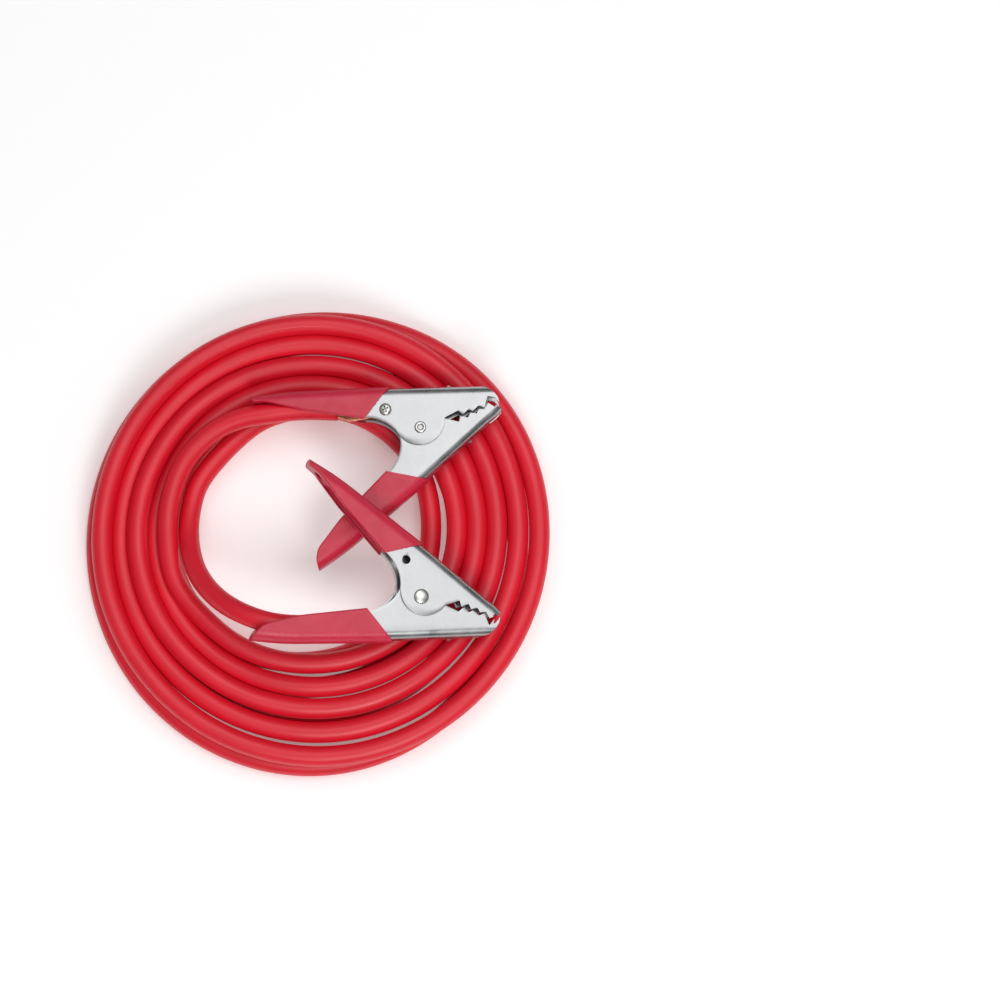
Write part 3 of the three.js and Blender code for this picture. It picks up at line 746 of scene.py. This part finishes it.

# %% [markdown]
# Both clamps are alike, so each shape is made in clamp coordinates and then put in its place by
# moving its points, and every object keeps its origin on the floor. One table says how each piece
# is made, which side of the clamp it is on, and which body it rides. Clamp 2 lies turned over and
# tilted, one handle across the other clamp. The spring rides no body: its points stay where they
# are put.

# %% Put the clamps together
CLAMP_1_AT = (0.0783, 0.0781, 2 * CABLE_D + TOUCH + METAL_HALF + TOUCH + DOME_H)
CLAMP_2_AT = (0.0772, -0.0511, 0.0577)
CLAMP_1_HEADING, CLAMP_2_HEADING, CLAMP_2_PITCH = map(math.radians, (22.1, -17.2, 14.5))
TURNED_OVER = Matrix.Rotation(math.pi, 4, "X")
CLAMPS = {
    "clamp_1": Matrix.Translation(CLAMP_1_AT) @ Matrix.Rotation(CLAMP_1_HEADING, 4, "Z"),
    "clamp_2": Matrix.Translation(CLAMP_2_AT)
    @ Matrix.Rotation(CLAMP_2_HEADING, 4, "Z")
    @ Matrix.Rotation(CLAMP_2_PITCH, 4, "Y")
    @ TURNED_OVER,
}
CABLE_SIDE = Matrix.Translation((0, 0, HALF_SHIFT))
FREE_SIDE = Matrix.Translation((0, 0, -HALF_SHIFT)) @ TURNED_OVER
BOTH_SIDES = Matrix.Identity(4)
SHAPES = [
    # node, what makes it, with what, where in the clamp, body, slot
    ("cable_jaw", clamp_half, ["cable"], CABLE_SIDE, "root", "jaw_steel"),
    ("cable_grip", grip, [], CABLE_SIDE, "root", "grip_vinyl"),
    ("free_jaw", clamp_half, ["free"], FREE_SIDE, "free", "jaw_steel"),
    ("free_grip", grip, [], FREE_SIDE, "free", "grip_vinyl"),
    ("rivet", rivet, [], BOTH_SIDES, "root", "fastener_steel"),
    ("spring", spring, [], BOTH_SIDES, "blend", "spring_steel"),
    ("screw", screw, [], BOTH_SIDES, "root", "fastener_steel"),
    ("conductor", strands, [], BOTH_SIDES, "root", "copper"),
]

pieces = {}
for node, make, given, inside, body, slot in SHAPES:
    for clamp, place in CLAMPS.items():
        piece = make(f"{clamp}_{node}_fine", *given)
        piece.data.transform(place @ inside)
        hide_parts(f"{clamp}_{node}")
        if body == "blend":
            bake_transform(piece)
        else:
            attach(piece, "root" if body == "root" else f"{clamp}_free")
        pieces[f"{clamp}_{node}"] = piece
        print(piece.name, len(piece.data.polygons), "faces")

# %% [markdown]
# The finishes come from node trees, with no pictures. Colours are written as the sRGB hex values
# of the real materials and made linear by one function. One function adds any node, with its
# settings and its links. Noise takes the size of its features in millimetres on the object, so
# that each pattern can be measured against the real thing.


# %% Material helpers
def linear(hex_colour):
    """Scene-linear RGBA from an sRGB hex string such as C81E28."""
    s = np.array([int(hex_colour[i : i + 2], 16) / 255 for i in (0, 2, 4)])
    return (*np.where(s <= 0.04045, s / 12.92, ((s + 0.055) / 1.055) ** 2.4), 1.0)


def add_node(tree, kind, inputs=None, **settings):
    """Add a shader node: settings are its own properties, inputs are socket values or links."""
    node = tree.nodes.new("ShaderNode" + kind)
    for key, value in settings.items():
        setattr(node, key, value)
    for key, value in (inputs or {}).items():
        socket = node.inputs[key]
        if isinstance(value, bpy.types.NodeSocket):
            tree.links.new(value, socket)
        else:
            socket.default_value = value
    return node


def ramp(tree, factor, stops):
    """A colour ramp node through stops of (place, colour)."""
    node = add_node(tree, "ValToRGB", {"Fac": factor})
    line = node.color_ramp.elements
    while len(line) < len(stops):
        line.new(1.0)
    for element, (place, colour) in zip(line, stops):
        element.position, element.color = place, colour
    return node.outputs["Color"]


def grey(value):
    """The same value on all three channels."""
    return (value, value, value, 1.0)


def per_mm(millimetres):
    """Noise scale whose features are about this many millimetres across, on metre coordinates."""
    return 1000 / millimetres


def new_material(name):
    """A material whose nodes hold only its output. Returns the material and its node tree."""
    material = bpy.data.materials.new(name)
    material.use_nodes = True
    tree = material.node_tree
    tree.nodes.clear()
    return material, tree


def finish_material(tree, bsdf_inputs, height, distance):
    """Principled surface with a bump from height, where height 1 stands distance metres proud."""
    bump = add_node(tree, "Bump", {"Height": height, "Distance": distance, "Strength": 1.0})
    surface = add_node(tree, "BsdfPrincipled", {**bsdf_inputs, "Normal": bump.outputs["Normal"]})
    add_node(tree, "OutputMaterial", {"Surface": surface.outputs["BSDF"]})


def stretched(tree, vector, scale):
    """Coordinates stretched by scale on each axis."""
    return add_node(tree, "Mapping", {"Vector": vector, "Scale": scale}).outputs["Vector"]


def noise(tree, vector, size, detail=3.0, roughness=0.5):
    """Noise with features of size millimetres, as a factor."""
    inputs = {"Vector": vector, "Scale": per_mm(size), "Detail": detail, "Roughness": roughness}
    return add_node(tree, "TexNoise", inputs).outputs["Fac"]
print("C81E28 in linear light:", [round(float(channel), 3) for channel in linear("C81E28")])

# %% [markdown]
# The cable's jacket is PVC, extruded hot through a round die. It gives the eye a smooth,
# half-glossy skin with faint lengthwise marks, slow waves of colour and pale scuffs from use. The
# marks follow the cable, so they are noise on the UV map that runs along it, drawn out
# lengthwise. Real die marks are about 0.1 mm wide, and they are drawn about 2 mm wide here,
# because finer ones would not show in the render.

# %% PVC jacket
jacket, tree = new_material("pvc_jacket")
along_cable = add_node(tree, "UVMap", uv_map="along").outputs["UV"]
streaks = noise(tree, stretched(tree, along_cable, (0.04, 1, 1)), 2.2, 4)
waves = noise(tree, stretched(tree, along_cable, (0.5, 1, 1)), 30, 2)
scuffs = noise(tree, stretched(tree, along_cable, (0.35, 1, 1)), 4, 6, 0.65)
skin_colour = ramp(tree, waves, [(0.3, linear("DC1029")), (0.7, linear("E81430"))])
dust = ramp(tree, scuffs, [(0.62, grey(0)), (0.78, grey(0.22))])
colour = add_node(
    tree, "MixRGB", {"Fac": dust, "Color1": skin_colour, "Color2": linear("EA3C4C")}
).outputs["Color"]
rough = ramp(tree, streaks, [(0.3, grey(0.36)), (0.7, grey(0.5))])
bsdf = {"Base Color": colour, "Roughness": rough, "IOR": 1.53}
finish_material(tree, bsdf, streaks, 0.12 * MM)
print(jacket.name, len(tree.nodes), "nodes")

# %% [markdown]
# The grips are plastisol, a liquid vinyl that a warm handle is dipped into, and that is then
# cured. It gives the eye a satin skin, a deeper red than the cable's, with a faint orange peel
# and slow changes of shade where it ran. It has no direction, so plain noise on the object's own
# coordinates will do.

# %% Plastisol vinyl
vinyl, tree = new_material("plastisol_vinyl")
place = add_node(tree, "TexCoord").outputs["Object"]
peel = noise(tree, place, 3.0, 2)
flow = noise(tree, place, 26, 2)
colour = ramp(tree, flow, [(0.3, linear("C81C3C")), (0.7, linear("D22343"))])
rough = ramp(tree, noise(tree, place, 9, 4), [(0.35, grey(0.34)), (0.7, grey(0.46))])
bsdf = {"Base Color": colour, "Roughness": rough, "IOR": 1.54}
finish_material(tree, bsdf, peel, 0.15 * MM)
print(vinyl.name, len(tree.nodes), "nodes")

# %% [markdown]
# The halves of a clamp are mild steel sheet with a bright zinc plate. It gives the eye a light
# grey metal that is clouded rather than mirror-like, with fine rub marks. The clouds are about
# 16 mm across and change colour and roughness together. The rub marks are noise drawn out one
# way, and wider than real ones, which would be too fine to show.

# %% Zinc-plated sheet steel
zinc, tree = new_material("zinc_plated_steel")
place = add_node(tree, "TexCoord").outputs["Object"]
cloud = noise(tree, place, 16, 4)
rub = noise(tree, stretched(tree, place, (1, 0.06, 1)), 1.2, 3)
colour = ramp(tree, cloud, [(0.3, linear("A0A1A3")), (0.7, linear("B6B7B8"))])
rough = ramp(tree, cloud, [(0.3, grey(0.24)), (0.7, grey(0.36))])
finish_material(tree, {"Base Color": colour, "Metallic": 1.0, "Roughness": rough}, rub, 0.03 * MM)
print(zinc.name, len(tree.nodes), "nodes")

# %% [markdown]
# The rivet and the screw are nickel-plated steel: brighter than the sheet and slightly warm. Their
# colour has painted shade in the bore and the cross. Ambient occlusion measures how open each
# point is within 2 mm, so the painted shade darkens only those recesses, from every side that
# they are seen.

# %% Nickel-plated fasteners
nickel, tree = new_material("nickel_plated_fastener")
place = add_node(tree, "TexCoord").outputs["Object"]
# Painted shade: the colour below is darker where ambient occlusion finds a point closed in within 2 mm,
# as in the bore and the cross.
openness = add_node(tree, "AmbientOcclusion", {"Distance": 2 * MM}, samples=8).outputs["AO"]
colour = ramp(tree, openness, [(0.35, linear("4A4A4C")), (0.85, linear("C9C8C4"))])
marks = noise(tree, place, 1.5, 4)
rough = ramp(tree, marks, [(0.3, grey(0.22)), (0.7, grey(0.38))])
finish_material(tree, {"Base Color": colour, "Metallic": 1.0, "Roughness": rough}, marks, 0.02 * MM)
print(nickel.name, len(tree.nodes), "nodes")

# %% [markdown]
# The spring is hard-drawn steel wire, not plated but oiled against rust. It gives the eye a
# darker, duller grey than the sheet round it, lightly mottled where the oil has dried.

# %% Oiled spring steel wire
spring_wire, tree = new_material("oiled_spring_steel")
place = add_node(tree, "TexCoord").outputs["Object"]
marks = noise(tree, place, 2.0, 4)
colour = ramp(tree, marks, [(0.3, linear("6E7074")), (0.7, linear("8B8D91"))])
rough = ramp(tree, marks, [(0.3, grey(0.3)), (0.7, grey(0.45))])
finish_material(tree, {"Base Color": colour, "Metallic": 1.0, "Roughness": rough}, marks, 0.02 * MM)
print(spring_wire.name, len(tree.nodes), "nodes")

# %% [markdown]
# The conductor is drawn copper wire, left bare. In air it has dulled a little, unevenly, so one
# noise changes its colour from brown to pink and its roughness with it.

# %% Bare copper strands
copper, tree = new_material("bare_copper")
place = add_node(tree, "TexCoord").outputs["Object"]
marks = noise(tree, place, 3.0, 4)
colour = ramp(tree, marks, [(0.35, linear("B4735A")), (0.7, linear("E0A083"))])
rough = ramp(tree, marks, [(0.3, grey(0.28)), (0.7, grey(0.42))])
finish_material(tree, {"Base Color": colour, "Metallic": 1.0, "Roughness": rough}, marks, 0.02 * MM)
print(copper.name, len(tree.nodes), "nodes")

# %% [markdown]
# The last word of a piece's name says what it is, and so which finish it has. The jaws have a
# second one. A handle is dipped whole, so its coat also lies on the inside of the channel. There
# it is thin and flat, so the sheet's own faces behind the dip line are simply given the vinyl.

# %% Give each piece its material
FINISHES = {
    "jaw": zinc, "grip": vinyl, "rivet": nickel, "screw": nickel,
    "spring": spring_wire, "conductor": copper,
}
COAT_SHORT = 2.2 * MM  # the faces are coated up to this far short of the sleeve's root
cable.data.materials.append(jacket)
for name, piece in pieces.items():
    piece.data.materials.clear()
    piece.data.materials.append(FINISHES[name.split("_")[-1]])


def coat_handle(piece, clamp, inside):
    """Give the vinyl to the faces whose middles lie behind the slanted root line of the sleeve."""
    piece.data.materials.append(vinyl)
    data = piece.data.copy()
    data.transform((CLAMPS[clamp] @ inside).inverted())
    middle = np.empty(3 * len(data.polygons), np.float32)
    data.polygons.foreach_get("center", middle)
    middle = middle.reshape(-1, 3).astype(float)
    bpy.data.meshes.remove(data)
    root_foot, root_top = HANDLE_LOW[3], np.array([GRIP_TOP_X, SPINE[2, 1]])
    share = (middle[:, 1] - root_foot[1]) / (root_top[1] - root_foot[1])
    behind = middle[:, 0] < root_foot[0] + (root_top[0] - root_foot[0]) * share - COAT_SHORT
    piece.data.polygons.foreach_set("material_index", behind.astype(np.int32))
    print(piece.name, int(behind.sum()), "coated faces")


for clamp in CLAMPS:
    coat_handle(pieces[f"{clamp}_cable_jaw"], clamp, CABLE_SIDE)
    coat_handle(pieces[f"{clamp}_free_jaw"], clamp, FREE_SIDE)

# %% [markdown]
# The cable lies on white paper that is lit until it is nearly burnt out. The paper glows a little
# of its own, which keeps it white where the coil shades it. It is staging, not a piece of the
# object.

# %% The floor
FLOOR_HALF = 3
CORNERS = [(-1, -1), (1, -1), (1, 1), (-1, 1)]
floor_data = bpy.data.meshes.new("floor")
floor_data.from_pydata([(x * FLOOR_HALF, y * FLOOR_HALF, 0) for x, y in CORNERS], [], [(0, 1, 2, 3)])
floor = bpy.data.objects.new("floor", floor_data)
bpy.context.scene.collection.objects.link(floor)
paper, tree = new_material("white_paper")
grain = noise(tree, add_node(tree, "TexCoord").outputs["Object"], 1.0, 3)
glow = {"Emission Color": grey(1), "Emission Strength": 0.2}
bsdf = {"Base Color": linear("FAFAFA"), "Roughness": 0.9, "IOR": 1.5, **glow}
finish_material(tree, bsdf, grain, 0.01 * MM)
floor.data.materials.append(paper)
print(paper.name, len(tree.nodes), "nodes")

# %% [markdown]
# The light is soft and nearly even, as inside a white tent. A sky that is brightest overhead and
# fades below fills the shadows and gives the plate something to reflect. A broad panel hangs
# above, to the right and behind, and models the cable's roundness. A smaller soft light in front
# keeps the near sides from going dull. The Standard view shows the reds as they are written.

# %% The surround and the lights
world = bpy.data.worlds.new("white_surround")
world.use_nodes = True
tree = world.node_tree
direction = add_node(tree, "TexCoord").outputs["Generated"]
upwards = add_node(tree, "SeparateXYZ", {"Vector": direction}).outputs["Z"]
sky = ramp(tree, upwards, [(0.0, grey(0.1)), (0.45, grey(0.45)), (1.0, grey(1.0))])
tree.links.new(sky, tree.nodes["Background"].inputs["Color"])
tree.nodes["Background"].inputs["Strength"].default_value = 0.5
bpy.context.scene.world = world
bpy.context.scene.view_settings.view_transform = "Standard"


def soft_light(name, place, width, height, watts):
    """A rectangular area light at place, turned to the middle of the object."""
    data = bpy.data.lights.new(name, "AREA")
    data.shape, data.size, data.size_y, data.energy = "RECTANGLE", width, height, watts
    light = bpy.data.objects.new(name, data)
    light.location = place
    light.rotation_euler = (LIT_SPOT - Vector(place)).to_track_quat("-Z", "Y").to_euler()
    bpy.context.scene.collection.objects.link(light)
    print(f"{name} light: {width} by {height} m, {watts} W")


LIT_SPOT = Vector((0.1, 0, 0))
soft_light("panel", (0.9, 0.7, 3.6), 3.6, 2.6, 52)
soft_light("side", (0.5, -1.9, 2.2), 1.0, 1.0, 30)
